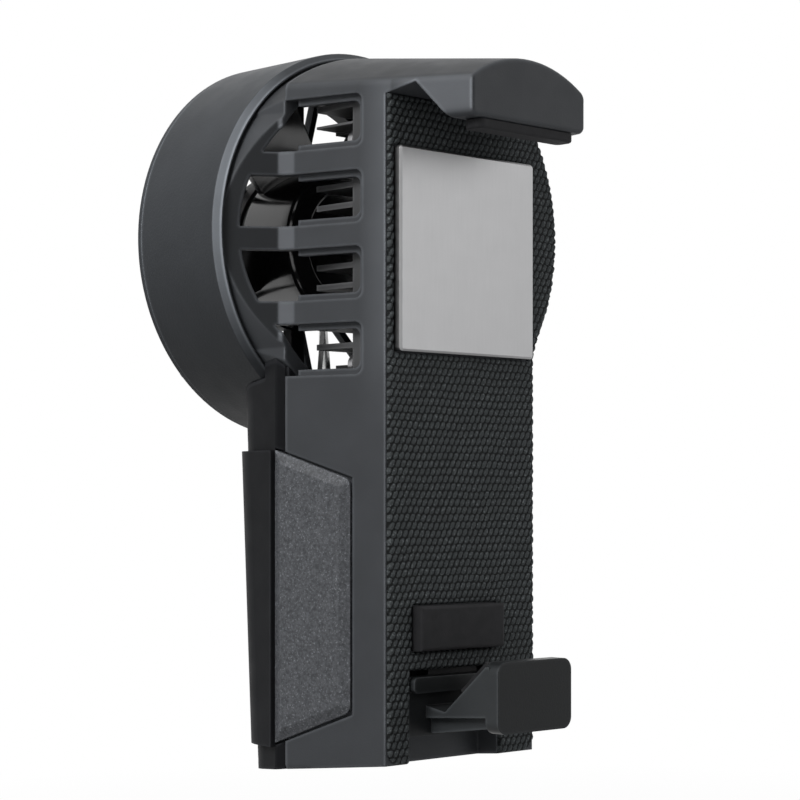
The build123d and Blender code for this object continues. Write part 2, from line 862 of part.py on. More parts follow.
# Shaft, pressed into the rotor's front wall
shaft_front = hub_front_y + hub_wall - (hub_wall - hub_dish_depth) / 2
with BuildPart() as rotor_shaft:
    with BuildSketch(at_y(shaft_front)):
        with Locations((0, fan_z)):
            Circle(shaft_radius)
    extrude(amount=-(frame_front - shaft_front - air_gap))
rotor_shaft.part.label = "rotor_shaft"
export_step(rotor_shaft.part, "parts/rotor_shaft.step")

# Magnet ring inside the hub
with BuildPart() as magnet_ring:
    with BuildSketch(at_y(hub_rear_y)):
        with Locations((0, fan_z)):
            Circle(magnet_outer)
            Circle(magnet_inner, mode=Mode.SUBTRACT)
    extrude(amount=stator_length + air_gap * 2)
magnet_ring.part.label = "magnet_ring"
export_step(magnet_ring.part, "parts/magnet_ring.step")


def blade_section(radius, sweep):
    """Cambered blade section, square to the blade's own radius."""
    half = sweep / 2
    front = blade_front_y
    rear = blade_rear_y
    middle = (front + rear) / 2
    with BuildSketch(Plane.XY.offset(fan_z + radius)) as section:
        with BuildLine():
            front_face = ThreePointArc(
                (half, front), (blade_camber, middle - blade_camber), (-half, rear - blade_thickness)
            )
            Line(front_face @ 1, (-half, rear))
            ThreePointArc(
                (-half, rear), (blade_camber, middle - blade_camber + blade_thickness), (half, front + blade_thickness)
            )
            Line((half, front + blade_thickness), (half, front))
        make_face()
    return section.sketch.face()


# Fan rotor: hub cup with swept blades
with BuildPart() as fan_rotor:
    root_radius = hub_radius - hub_wall / 2
    loft([blade_section(root_radius, blade_root_sweep), blade_section(ring_radius, blade_tip_sweep)], ruled=True)
    with BuildSketch(at_y(hub_front_y - overrun)):
        with Locations((0, fan_z)):
            Circle(blade_tip_radius)
    extrude(amount=-far, mode=Mode.INTERSECT)
    # The blades stand so that a gap between two of them faces up at rest
    blade = fan_rotor.part
    rest_turn = 180 / blade_count
    add([blade.rotate(fan_axis, rest_turn + 360 / blade_count * i) for i in range(blade_count)], mode=Mode.REPLACE)
    with BuildSketch(at_y(hub_front_y)):
        with Locations((0, fan_z)):
            Circle(hub_radius)
    extrude(amount=-hub_depth)
    fillet(fan_rotor.faces().sort_by(Axis.Y)[0].edges(), hub_edge)
    with BuildSketch(at_y(hub_front_y + hub_wall)):
        with Locations((0, fan_z)):
            Circle(hub_radius - hub_wall)
    extrude(amount=-far, mode=Mode.SUBTRACT)
    with BuildSketch(at_y(hub_front_y)):
        with Locations((0, fan_z)):
            Circle(hub_dish_radius)
    extrude(amount=-hub_dish_depth, mode=Mode.SUBTRACT)
    front_edges = fan_rotor.edges().filter_by_position(Axis.Y, hub_front_y - seat_gap, hub_front_y + seat_gap)
    chamfer(front_edges.sort_by(SortBy.LENGTH)[0], hub_dish_edge)
    with BuildSketch(at_y(shaft_front)):
        with Locations((0, fan_z)):
            Circle(shaft_radius)
    extrude(amount=-hub_wall, mode=Mode.SUBTRACT)
fan_rotor.part.label = "fan_rotor"
export_step(fan_rotor.part, "parts/fan_rotor.step")

# Inlet grille on the back of the ring
with BuildPart() as rear_grille:
    with BuildSketch(at_y(ring_rear_y)):
        with Locations((0, fan_z)):
            Circle(ring_radius)
            Circle(ring_radius - grille_rim, mode=Mode.SUBTRACT)
            Circle(grille_hub_radius)
            rib_reach = ring_radius - grille_rim - grille_hub_radius + grille_rib_width * 2
            rib_middle = (ring_radius - grille_rim + grille_hub_radius) / 2
            with PolarLocations(rib_middle, grille_rib_count, start_angle=180 / grille_rib_count):
                Rectangle(rib_reach, grille_rib_width)
    extrude(amount=-grille_thickness)
    rim_edge = rear_grille.edges().group_by(Axis.Y)[-1].sort_by(SortBy.LENGTH)[-1]
    chamfer(rim_edge, grille_edge)
    with BuildSketch(at_y(grille_rear_y)):
        with Locations((0, fan_z)):
            Circle(grille_ring_radius)
            Circle(grille_ring_radius - grille_ring_width, mode=Mode.SUBTRACT)
    extrude(amount=grille_ring_depth, mode=Mode.SUBTRACT)
    with BuildSketch(at_y(grille_rear_y)):
        with Locations(*grille_screw_places):
            Circle(grille_screw_radius + seat_gap)
    extrude(amount=grille_thickness, mode=Mode.SUBTRACT)
    with BuildSketch(at_y(grille_rear_y)):
        with Locations(*grille_screw_places):
            Circle(grille_head_radius + grille_head_gap)
    extrude(amount=grille_head_height, mode=Mode.SUBTRACT)
rear_grille.part.label = "rear_grille"
export_step(rear_grille.part, "parts/rear_grille.step")

# Grille screws, heads sunk in the grille's rim, each with a hexagon socket
with BuildPart() as grille_screws:
    with BuildSketch(at_y(grille_rear_y)):
        with Locations(*grille_screw_places):
            Circle(grille_head_radius)
    extrude(amount=grille_head_height)
    with BuildSketch(at_y(grille_rear_y - grille_head_height)):
        with Locations(*grille_screw_places):
            Circle(grille_screw_radius)
    extrude(amount=grille_thickness - grille_head_height + grille_screw_length - screw_end_gap)
    with BuildSketch(at_y(grille_rear_y)):
        with Locations(*grille_screw_places):
            RegularPolygon(grille_head_radius * socket_share, 6)
    extrude(amount=grille_head_height / 2, mode=Mode.SUBTRACT)
grille_screws.part.label = "grille_screws"
export_step(grille_screws.part, "parts/grille_screws.step")

# Rear half of the handle, hollow, cut round to the ring
rear_low = bottom_z(far)
shell_step_y = head_rear_y - lip_length - shell_ring_gap
with BuildPart() as rear_shell:
    loft([handle_section(rear_low, 0), handle_section(rear_shell_top, 0)], ruled=True)
    loft([handle_section(rear_low, -rear_wall), handle_section(rear_shell_top, -rear_wall)], ruled=True,
         mode=Mode.SUBTRACT)
    with BuildSketch(Plane.XY.offset(bottom_z(joint_y) + rear_wall)):
        with Locations((0, joint_y + far / 2)):
            Rectangle(side_x(joint_y) * 2, far)
    floor = extrude(amount=-far / 2, mode=Mode.PRIVATE)
    add(floor & loft([handle_section(rear_low, 0), handle_section(rear_shell_top, 0)], ruled=True, mode=Mode.PRIVATE))
    with BuildSketch(at_y(joint_y)):
        with Locations(*shell_screw_places):
            Circle(shell_boss_radius)
    bosses = extrude(amount=-(rear_y_bottom - joint_y), mode=Mode.PRIVATE)
    add(bosses & loft([handle_section(rear_low, 0), handle_section(rear_shell_top, 0)], ruled=True, mode=Mode.PRIVATE))
    # Parting groove along both side joints, its rear edge bevelled
    for side in (-1, 1):
        with BuildSketch(Plane.XY.offset(rear_low)):
            with BuildLine():
                parting_outline(side)
            make_face()
        extrude(amount=rear_shell_top - rear_low, mode=Mode.SUBTRACT)
    with BuildSketch(at_y(joint_y)):
        with Locations((0, fan_z)):
            Circle(head_radius + shell_ring_gap)
    extrude(amount=-(shell_step_y - joint_y), mode=Mode.SUBTRACT)
    with BuildSketch(at_y(shell_step_y)):
        with Locations((0, fan_z)):
            Circle(ring_radius + shell_ring_gap)
    extrude(amount=-far, mode=Mode.SUBTRACT)
    with BuildSketch(Plane.YZ):
        with BuildLine():
            underside_outline(tip_y, far)
        make_face()
    extrude(amount=far, both=True, mode=Mode.SUBTRACT)
    with BuildSketch(at_y(joint_y)):
        with Locations(*shell_screw_places):
            Circle(shell_screw_radius + seat_gap)
    extrude(amount=-far, mode=Mode.SUBTRACT)
    with BuildSketch(at_y(joint_y + rear_wall)):
        with Locations(*shell_screw_places):
            Circle(shell_head_radius + seat_gap)
    extrude(amount=-far, mode=Mode.SUBTRACT)
    add(insert_pockets.part, mode=Mode.SUBTRACT)
rear_shell.part.label = "rear_shell"
export_step(rear_shell.part, "parts/rear_shell.step")

# Screws of the rear shell
with BuildPart() as shell_screws:
    with BuildSketch(at_y(joint_y + rear_wall)):
        with Locations(*shell_screw_places):
            Circle(shell_head_radius)
    extrude(amount=-shell_head_height)
    with BuildSketch(at_y(joint_y + rear_wall)):
        with Locations(*shell_screw_places):
            Circle(shell_screw_radius)
    extrude(amount=rear_wall + shell_screw_bite - screw_end_gap)
    with BuildSketch(at_y(joint_y + rear_wall + shell_head_height)):
        with Locations(*shell_screw_places):
            RegularPolygon(shell_head_radius * socket_share, 6)
    extrude(amount=shell_head_height / 2, mode=Mode.SUBTRACT)
shell_screws.part.label = "shell_screws"
export_step(shell_screws.part, "parts/shell_screws.step")

# Grip sleeve around the rear half
with BuildPart() as grip_sleeve:
    loft([handle_section(sleeve_bottom, sleeve_thickness), handle_section(sleeve_top, sleeve_thickness)], ruled=True)
    loft([handle_section(sleeve_bottom, sleeve_gap), handle_section(sleeve_top, sleeve_gap)], ruled=True,
         mode=Mode.SUBTRACT)
    with BuildSketch(at_y(joint_y - overrun)):
        Rectangle(far * 2, far * 4)
    extrude(amount=-(overrun + rear_flank), mode=Mode.SUBTRACT)
grip_sleeve.part.label = "grip_sleeve"
export_step(grip_sleeve.part, "parts/grip_sleeve.step")

# Grip inserts in the side walls, bevelled all round
with BuildPart() as grip_insert_left:
    with BuildSketch(insert_plane().offset(-insert_pocket)) as insert_face:
        insert_outline(0)
        fillet(insert_face.vertices().group_by(Axis.X)[-1], insert_corner)
    extrude(amount=insert_thickness)
    outer_face = grip_insert_left.faces().filter_by(insert_plane()).sort_by_distance((-far, 0, 0))[0]
    chamfer(outer_face.edges(), insert_bevel_width, insert_bevel, reference=outer_face)
grip_insert_left.part.label = "grip_insert_left"
export_step(grip_insert_left.part, "parts/grip_insert_left.step")

with BuildPart() as grip_insert_right:
    mirror(grip_insert_left.part, about=Plane.YZ)
grip_insert_right.part.label = "grip_insert_right"
export_step(grip_insert_right.part, "parts/grip_insert_right.step")

# Lower hook: lip, cranked arm and the root plate that fills the pocket
root_front = tongue_front - arm_step
lip_rear = lower_lip_y + lower_lip_thickness
arm_left = lower_lip_left
arm_right = lower_lip_left + arm_width
with BuildPart() as lower_hook:
    with BuildSketch(at_y(lower_lip_y)):
        with Locations(((lower_lip_left + lower_lip_right) / 2, (lower_lip_top + lower_lip_bottom) / 2)):
            RectangleRounded(lower_lip_right - lower_lip_left, lower_lip_top - lower_lip_bottom, lower_lip_corner)
    extrude(amount=-lower_lip_thickness)
    with BuildSketch(Plane.YZ.offset(arm_left)):
        with BuildLine():
            Polyline(
                (lip_rear, lower_lip_top - arm_bevel),
                (arm_trough_y, arm_trough_z),
                (root_front, arm_trough_z + arm_bevel),
                (tongue_front, arm_trough_z + arm_bevel),
                (tongue_front, ledge_root_z),
                (lip_rear - arm_bevel, ledge_tip_z),
                (lip_rear - arm_bevel, lower_lip_top - arm_bevel),
                close=True,
            )
        make_face()
    extrude(amount=arm_width)
    # Narrower flange below the ledge along the arm
    with BuildSketch(Plane.YZ.offset(arm_left + flange_inset)):
        with BuildLine():
            Polyline(
                (tongue_front, ledge_root_z + seat_gap),
                (tongue_front, root_bottom),
                (lip_rear - arm_bevel, lower_lip_bottom + arm_bevel),
                (lip_rear - arm_bevel, ledge_tip_z + seat_gap),
                close=True,
            )
        make_face()
    extrude(amount=arm_width - flange_inset * 2)
    root_top = recess_top - root_bar_gap
    with BuildSketch(at_y(root_front)):
        with Locations((catch_x, (root_bottom + root_top) / 2)):
            Rectangle(recess_width - tongue_gap * 2, root_top - root_bottom)
    extrude(amount=-arm_step)
    bar_z = root_top - root_bar_height / 2
    with BuildSketch(at_y(root_front)):
        with Locations((catch_x, bar_z)):
            RectangleRounded(recess_width - tongue_gap * 2, root_bar_height, root_bar_round)
    extrude(amount=root_bar_depth)
    hook_screw_places = [((arm_left + arm_right) / 2 + x, arm_trough_z - arm_step / 2)
                         for x in (-hook_screw_spacing / 2, hook_screw_spacing / 2)]
    with BuildSketch(at_y(tongue_front)):
        with Locations(*hook_screw_places):
            Circle(hook_screw_radius)
    extrude(amount=hook_screw_bite + screw_end_gap, mode=Mode.SUBTRACT)
lower_hook.part.label = "lower_hook"
export_step(lower_hook.part, "parts/lower_hook.step")

# Rubber ledge on the arm's slope, behind the lip
with BuildPart() as lower_hook_pad:
    slope_y = arm_trough_y - lip_rear
    slope_z = arm_trough_z - (lower_lip_top - arm_bevel)
    slope_length = sqrt(slope_y ** 2 + slope_z ** 2)
    slope_plane = Plane(
        origin=((arm_left + arm_right) / 2, lip_rear, lower_lip_top - arm_bevel),
        x_dir=(1, 0, 0),
        z_dir=(0, -slope_z, slope_y),
    )
    with BuildSketch(slope_plane):
        with Locations((0, lower_pad_length / 2)):
            Rectangle(arm_width - arm_bevel * 2, lower_pad_length)
    extrude(amount=lower_pad_thickness)
lower_hook_pad.part.label = "lower_hook_pad"
export_step(lower_hook_pad.part, "parts/lower_hook_pad.step")

# Tongue with its crosshead, which the springs pull up
with BuildPart() as hook_slider:
    with BuildSketch(at_y(tongue_front)):
        with Locations((0, (root_bottom + crosshead_top) / 2)):
            Rectangle(tongue_width, crosshead_top - root_bottom)
        with Locations((0, (crosshead_bottom + crosshead_top) / 2)):
            Rectangle(crosshead_width, crosshead_height)
    extrude(amount=-tongue_thickness)
    with BuildSketch(at_y(tongue_front)):
        with Locations(*[(x, (crosshead_bottom + crosshead_top) / 2) for x in (-spring_x, spring_x)]):
            Rectangle(ear_width - seat_gap * 2, crosshead_height)
    extrude(amount=-(spring_y + spring_radius - tongue_front))
    with BuildSketch(at_y(tongue_rear)):
        with Locations(*hook_screw_places):
            Circle(hook_screw_head + seat_gap)
    extrude(amount=tongue_thickness / 2, mode=Mode.SUBTRACT)
    with BuildSketch(at_y(tongue_rear)):
        with Locations(*hook_screw_places):
            Circle(hook_screw_radius + seat_gap)
    extrude(amount=tongue_thickness, mode=Mode.SUBTRACT)
hook_slider.part.label = "hook_slider"
export_step(hook_slider.part, "parts/hook_slider.step")

# Screws between the tongue and the hook
with BuildPart() as hook_screws:
    head_seat = tongue_rear - tongue_thickness / 2
    with BuildSketch(at_y(head_seat)):
        with Locations(*hook_screw_places):
            Circle(hook_screw_head)
    extrude(amount=-tongue_thickness / 2)
    with BuildSketch(at_y(head_seat)):
        with Locations(*hook_screw_places):
            Circle(hook_screw_radius)
    extrude(amount=tongue_thickness / 2 + hook_screw_bite)
hook_screws.part.label = "hook_screws"
export_step(hook_screws.part, "parts/hook_screws.step")

# Return springs beside the tongue, close wound, so each is a plain sleeve here
with BuildPart() as return_spring_left:
    with BuildSketch(Plane.XY.offset(crosshead_top)):
        with Locations((-spring_x, spring_y)):
            Circle(spring_radius)
            Circle(spring_radius - spring_wall, mode=Mode.SUBTRACT)
    extrude(amount=spring_top - crosshead_top)
return_spring_left.part.label = "return_spring_left"
export_step(return_spring_left.part, "parts/return_spring_left.step")

with BuildPart() as return_spring_right:
    mirror(return_spring_left.part, about=Plane.YZ)
return_spring_right.part.label = "return_spring_right"
export_step(return_spring_right.part, "parts/return_spring_right.step")

# Guide that covers the tongue, with windows for the springs and posts for the board
guide_bottom = recess_top + recess_wall + seat_gap
post_places = [(0, guide_top - guide_post_drop - guide_post_spacing * i) for i in range(2)]
with BuildPart() as slider_guide:
    with BuildSketch(at_y(guide_front)):
        with Locations((0, (guide_top + guide_bottom) / 2)):
            Rectangle(guide_width, guide_top - guide_bottom)
        window_width = ear_width + spring_gap * 2
        with Locations(*[(x, spring_top - far / 2) for x in (-spring_x, spring_x)]):
            Rectangle(window_width, far, mode=Mode.SUBTRACT)
    extrude(amount=-guide_thickness)
    with BuildSketch(at_y(guide_rear)):
        with Locations(*post_places):
            Circle(guide_post_radius)
    extrude(amount=-(board_y - guide_rear))
slider_guide.part.label = "slider_guide"
export_step(slider_guide.part, "parts/slider_guide.step")

# Driver board with its larger components
board_bottom = core_bottom + board_gap
with BuildPart() as main_board:
    with BuildSketch(at_y(board_y)):
        with Locations((0, (board_top + board_bottom) / 2)):
            Rectangle(board_width, board_top - board_bottom)
    extrude(amount=-board_thickness)
    with BuildSketch(at_y(board_rear)):
        with Locations((0, board_top - chip_pitch)):
            with GridLocations(chip_pitch, chip_pitch, 2, 2):
                Rectangle(chip_side, chip_side)
    extrude(amount=-chip_height)
    with BuildSketch(at_y(board_rear)):
        with Locations((0, board_top - coil_drop)):
            with GridLocations(coil_pitch, coil_pitch, 2, 1):
                Rectangle(coil_side, coil_side)
    extrude(amount=-coil_height)
main_board.part.label = "main_board"
export_step(main_board.part, "parts/main_board.step")

# Power inlet: shell open downwards, with its contact tongue
with BuildPart() as usb_socket:
    socket_bottom = bottom_z(socket_y) + socket_setback
    with BuildSketch(Plane.XY.offset(socket_bottom)):
        with Locations((0, socket_y)):
            SlotOverall(socket_width, socket_height)
    extrude(amount=socket_length)
    with BuildSketch(Plane.XY.offset(socket_bottom)):
        with Locations((0, socket_y)):
            SlotOverall(socket_width - socket_wall * 2, socket_height - socket_wall * 2)
    extrude(amount=socket_length - socket_wall, mode=Mode.SUBTRACT)
    with BuildSketch(Plane.XY.offset(socket_bottom + socket_wall)):
        with Locations((0, socket_y)):
            Rectangle(socket_tongue_width, socket_tongue)
    extrude(amount=socket_length - socket_wall)
usb_socket.part.label = "usb_socket"
export_step(usb_socket.part, "parts/usb_socket.step")
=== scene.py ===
"""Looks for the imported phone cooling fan: materials, the woven front, studio and camera.

Lengths are in millimetres unless a name says otherwise; MM turns them into metres.
"""
import json
import math

import bpy
import numpy as np
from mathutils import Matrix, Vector
from mathutils.geometry import delaunay_2d_cdt


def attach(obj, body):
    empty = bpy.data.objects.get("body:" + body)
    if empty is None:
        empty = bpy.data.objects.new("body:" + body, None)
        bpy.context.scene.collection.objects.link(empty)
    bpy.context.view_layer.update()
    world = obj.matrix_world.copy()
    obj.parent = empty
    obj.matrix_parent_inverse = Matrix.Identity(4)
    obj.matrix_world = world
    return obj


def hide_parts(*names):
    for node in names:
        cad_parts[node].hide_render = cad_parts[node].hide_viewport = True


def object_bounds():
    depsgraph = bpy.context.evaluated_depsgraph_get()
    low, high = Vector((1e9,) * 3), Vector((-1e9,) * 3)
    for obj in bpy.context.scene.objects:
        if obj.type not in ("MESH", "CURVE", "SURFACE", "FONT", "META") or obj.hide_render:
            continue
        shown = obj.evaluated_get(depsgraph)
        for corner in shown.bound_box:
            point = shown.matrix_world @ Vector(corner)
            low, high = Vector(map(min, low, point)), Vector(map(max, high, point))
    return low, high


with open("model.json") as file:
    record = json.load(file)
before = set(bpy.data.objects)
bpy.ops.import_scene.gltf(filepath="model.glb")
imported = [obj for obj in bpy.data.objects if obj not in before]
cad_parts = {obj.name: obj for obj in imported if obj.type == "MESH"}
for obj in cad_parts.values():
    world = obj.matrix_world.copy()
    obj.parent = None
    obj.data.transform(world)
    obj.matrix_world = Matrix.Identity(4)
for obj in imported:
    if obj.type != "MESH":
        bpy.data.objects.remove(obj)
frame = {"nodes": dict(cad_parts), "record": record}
cad_low, cad_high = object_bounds()

MM = 0.001

# Camera: place, turn about the vertical, lens and the shift that keeps the verticals upright
CAMERA_PLACE = (-190.54, -182.57, -29.6)
CAMERA_AZIMUTH = -44.4
CAMERA_LENS = 98.28
SENSOR_WIDTH = 36.0
CAMERA_SHIFT = 0.125
CAMERA_CLIP = 1.0

# Lamps: name, place, target, size and watts
LAMPS = (
    ("key_lamp", (-330, -20, 230), (0, 0, 0), (160, 200), 1.05),
    ("front_lamp", (300, -400, 120), (0, 0, -20), (260, 300), 0.4),
    ("top_lamp", (-40, 60, 420), (0, 10, 0), (260, 260), 0.6),
)
WHITE = (1.0, 1.0, 1.0, 1.0)

# World: its light grows from the first strength to the second between two heights of a direction
WORLD_RISE = (-0.4, 0.8)
WORLD_LIGHT = (0.03, 0.3)

# Floor: it lies under the hook's full travel, and turns whiter away from the part
FLOOR_GAP = 0.3
FLOOR_REACH = 8000.0
FLOOR_GREY = 0.3
FLOOR_MOTTLE = 0.01
FLOOR_FADE = (80.0, 170.0)
FLOOR_WHITENESS = (0.94, 1.0)
HOOK_TRAVEL = 16.0

# Part of a noise's range that a change of shade or gloss spans
NOISE_BAND = (0.3, 0.7)

# Edge wear and painted edge highlight: share of hidden surroundings where it starts and is full,
# and patches
EDGE_WEAR_AND_HIGHLIGHT_BAND = (0.92, 0.5)
EDGE_WEAR_AND_HIGHLIGHT_PATCH = 2.2
EDGE_WEAR_AND_HIGHLIGHT_PATCHINESS = 0.25
AO_SAMPLES = 8
BEVEL_SAMPLES = 6

# Colours that differ from the slot's own, and the cool cast of the plastics
GRIP_COLOR = (0.012, 0.0125, 0.014)
HOOK_COLOR = (0.0178, 0.0193, 0.0205)
COOL = (1.0, 1.045, 1.055)
DARK_BOARD_COLOR = (0.008, 0.011, 0.01)
RING_SHADE = 0.74
PLATE_SHADE = 0.38
SINK_SHADE = 0.1

# Painted highlight and painted shade on faces by direction: (direction, cosine where it starts,
# factor at 1)
# Housing: painted highlight on the strip by the vents, painted shade on the funnel and on faces
# turned up and left
HOUSING_PAINTED_LIGHT = (
    ((-0.85, -0.53, 0.0), 0.96, 2.3),
    ((-0.55, -0.84, 0.0), 0.94, 0.4),
    ((-0.5, 0.0, 0.87), 0.85, 0.42),
)
# Ring: painted highlight on the front-left rim bevel, painted shade on the underside
RING_PAINTED_LIGHT = (((-0.7, -0.7, 0.1), 0.82, 4.4), ((0.0, 0.0, -1.0), 0.15, 0.35))
# Lower hook: painted highlight on the arm's left side
HOOK_PAINTED_LIGHT = (((-1.0, 0.0, 0.1), 0.7, 2.4),)

# Painted light on the left wall's front and the upper hook's left: strengths, and the Y and Z bands
# where each sets in
WALL_PAINTED_LIGHT = 0.9
UPPER_HOOK_PAINTED_LIGHT = 1.1
PAINTED_LIGHT_SIDE = (-1.0, -0.2, 0.0)
PAINTED_LIGHT_SIDE_FROM = 0.8
WALL_FROM_Y = (0.4, 0.9)
WALL_FADE_Y = (1.5, 5.0)
WALL_FROM_Z = (-22.0, -6.0)
UPPER_HOOK_FROM_Y = (1.0, -1.5)
UPPER_HOOK_FROM_Z = (12.0, 16.0)

# Weave: rows of lumps, each row shifted, the lumps slanted and the rows swaying a little.
# The node material and the mesh use the same values, so that colour and relief agree.
WEAVE_PITCH = 0.92
WEAVE_SHIFT = 0.37
WEAVE_SLANT = -0.45
WEAVE_WIDTH = 0.42
WEAVE_SWAY = 0.05
SWAY_WAVES = ((0.83, 0.21), (-0.34, 0.57))
CHANCE_TURNS = (12.9898, 78.233)
CHANCE_SPREAD = 43.75
LOWEST_LUMP = 0.6

# Sheet of the weave: depth of the relief, mesh step, rolled border and its wavy outer edge
WEAVE_RELIEF = 0.2
WEAVE_STEP = 0.184
WEAVE_ROLL = 0.3
BORDER_CLEARANCE = 0.45
EDGE_WAVE = 0.12
EDGE_WAVE_FROM_X = 12.0
EDGE_WAVE_RISE = 0.5
EDGE_WAVE_REACH = 0.6
MERGE_MM = 1e-5
FACE_DEPTH = 0.01
TINY = 1e-12


class Material:
    """A node material with its shader and shared object coordinates, in millimetres."""

    def __init__(self, name, color, roughness, metallic=0.0):
        self.material = bpy.data.materials.new(name)
        self.material.use_nodes = True
        self.material.diffuse_color = (*color, 1.0)
        self.nodes = self.material.node_tree.nodes
        self.links = self.material.node_tree.links
        self.shader = self.nodes["Principled BSDF"]
        self.shader.inputs["Base Color"].default_value = (*color, 1.0)
        self.shader.inputs["Roughness"].default_value = roughness
        self.shader.inputs["Metallic"].default_value = metallic
        coordinates = self.nodes.new("ShaderNodeTexCoord")
        to_mm = self.nodes.new("ShaderNodeVectorMath")
        to_mm.operation = "SCALE"
        to_mm.inputs["Scale"].default_value = 1 / MM
        self.links.new(coordinates.outputs["Object"], to_mm.inputs[0])
        self.place = to_mm.outputs["Vector"]

    def node(self, kind, **inputs):
        """A new node with the given values or links in its inputs."""
        node = self.nodes.new(kind)
        for name, value in inputs.items():
            self.feed(node.inputs[name.replace("_", " ")], value)
        return node

    def feed(self, socket, value):
        if isinstance(value, bpy.types.NodeSocket):
            self.links.new(value, socket)
        else:
            socket.default_value = value

    def math(self, operation, first, second=0.0, third=0.0):
        node = self.nodes.new("ShaderNodeMath")
        node.operation = operation
        for socket, value in zip(node.inputs, (first, second, third)):
            self.feed(socket, value)
        return node.outputs[0]

    def stretched(self, factors):
        """The shared coordinates, scaled along each axis."""
        node = self.nodes.new("ShaderNodeVectorMath")
        node.operation = "MULTIPLY"
        self.links.new(self.place, node.inputs[0])
        node.inputs[1].default_value = factors
        return node.outputs["Vector"]

    def noise(self, size_mm, detail=2.0, vector=None):
        """Noise from 0 to 1 whose patches have about the given size."""
        texture = self.nodes.new("ShaderNodeTexNoise")
        texture.inputs["Scale"].default_value = 1 / size_mm
        texture.inputs["Detail"].default_value = detail
        self.links.new(vector or self.place, texture.inputs["Vector"])
        return texture.outputs["Fac"]

    def blend(self, factor, low, high, low_at=0.0, high_at=1.0):
        """Colour ramp from low to high over the given part of the factor."""
        ramp = self.nodes.new("ShaderNodeValToRGB")
        ramp.color_ramp.elements[0].position = low_at
        ramp.color_ramp.elements[0].color = (*low, 1.0)
        ramp.color_ramp.elements[1].position = high_at
        ramp.color_ramp.elements[1].color = (*high, 1.0)
        self.links.new(factor, ramp.inputs["Fac"])
        return ramp.outputs["Color"]

    def ranged(self, value, low, high, to_low, to_high):
        """The value, clamped to one range and mapped to another."""
        node = self.nodes.new("ShaderNodeMapRange")
        self.feed(node.inputs["Value"], value)
        node.inputs["From Min"].default_value = low
        node.inputs["From Max"].default_value = high
        node.inputs["To Min"].default_value = to_low
        node.inputs["To Max"].default_value = to_high
        return node.outputs["Result"]

    def color(self, socket):
        self.links.new(socket, self.shader.inputs["Base Color"])

    def roughness(self, socket):
        self.links.new(socket, self.shader.inputs["Roughness"])

    def worn_and_highlighted(self, color, reach_mm, lift):
        """Colour lighter along the outer edges, patchily: partly rubbed wear, partly a painted edge
        highlight.
        """
        edge = self.nodes.new("ShaderNodeAmbientOcclusion")
        edge.inside = True
        edge.only_local = True
        edge.samples = AO_SAMPLES
        edge.inputs["Distance"].default_value = reach_mm * MM
        patch = self.math("SUBTRACT", self.noise(EDGE_WEAR_AND_HIGHLIGHT_PATCH, 3.0), 0.5)
        patch = self.math("MULTIPLY", patch, EDGE_WEAR_AND_HIGHLIGHT_PATCHINESS)
        lightened = self.ranged(self.math("ADD", edge.outputs["AO"], patch), *EDGE_WEAR_AND_HIGHLIGHT_BAND, 0.0, 1.0)
        mix = self.nodes.new("ShaderNodeMix")
        mix.data_type = "RGBA"
        mix.blend_type = "MULTIPLY"
        self.links.new(lightened, mix.inputs["Factor"])
        self.links.new(color, mix.inputs["A"])
        mix.inputs["B"].default_value = (lift, lift, lift, 1.0)
        mix.clamp_result = False
        return mix.outputs["Result"]

    def facing(self, normal, direction, low_at, level, base=1.0):
        """Factor that goes from base to level where the surface turns towards a direction."""
        dot = self.nodes.new("ShaderNodeVectorMath")
        dot.operation = "DOT_PRODUCT"
        self.links.new(normal, dot.inputs[0])
        dot.inputs[1].default_value = Vector(direction).normalized()
        return self.ranged(dot.outputs["Value"], low_at, 1.0, base, level)

    def scaled(self, color, factor):
        node = self.nodes.new("ShaderNodeVectorMath")
        node.operation = "SCALE"
        self.links.new(color, node.inputs[0])
        self.feed(node.inputs["Scale"], factor)
        return node.outputs["Vector"]

    def rounded(self, radius_mm):
        """Normal that rolls over the edges by a small radius."""
        bevel = self.nodes.new("ShaderNodeBevel")
        bevel.samples = BEVEL_SAMPLES
        bevel.inputs["Radius"].default_value = radius_mm * MM
        return bevel.outputs["Normal"]

    def bump(self, height, depth_mm, strength=1.0, after=None):
        bump = self.nodes.new("ShaderNodeBump")
        bump.inputs["Distance"].default_value = depth_mm * MM
        bump.inputs["Strength"].default_value = strength
        self.links.new(height, bump.inputs["Height"])
        if after:
            self.links.new(after, bump.inputs["Normal"])
        self.links.new(bump.outputs["Normal"], self.shader.inputs["Normal"])
        return bump.outputs["Normal"]

    def specular(self, level):
        self.shader.inputs["Specular IOR Level"].default_value = level


def tinted(color, factor):
    """The colour, darker or lighter by a factor."""
    return tuple(channel * factor for channel in color)


def cooled(color):
    """The colour with the plastics' cool cast."""
    return tuple(channel * factor for channel, factor in zip(color, COOL))


def left_painted_light(m, normal):
    """Factor of painted light on the left wall next to the phone side, and on the upper hook's
    left.
    """
    split = m.node("ShaderNodeSeparateXYZ", Vector=m.place)
    y, z = split.outputs["Y"], split.outputs["Z"]
    behind = m.ranged(y, *WALL_FROM_Y, 0.0, 1.0)
    before = m.ranged(y, *WALL_FADE_Y, WALL_PAINTED_LIGHT, 0.0)
    above = m.ranged(z, *WALL_FROM_Z, 0.0, 1.0)
    side = m.facing(normal, PAINTED_LIGHT_SIDE, PAINTED_LIGHT_SIDE_FROM, 1.0, 0.0)
    wall = m.math("MULTIPLY", m.math("MULTIPLY", behind, before), above)
    hook = m.ranged(y, *UPPER_HOOK_FROM_Y, 0.0, UPPER_HOOK_PAINTED_LIGHT)
    hook = m.math("MULTIPLY", hook, m.ranged(z, *UPPER_HOOK_FROM_Z, 0.0, 1.0))
    painted = m.math("MULTIPLY", m.math("MAXIMUM", wall, hook), side)
    return m.math("ADD", painted, 1.0)


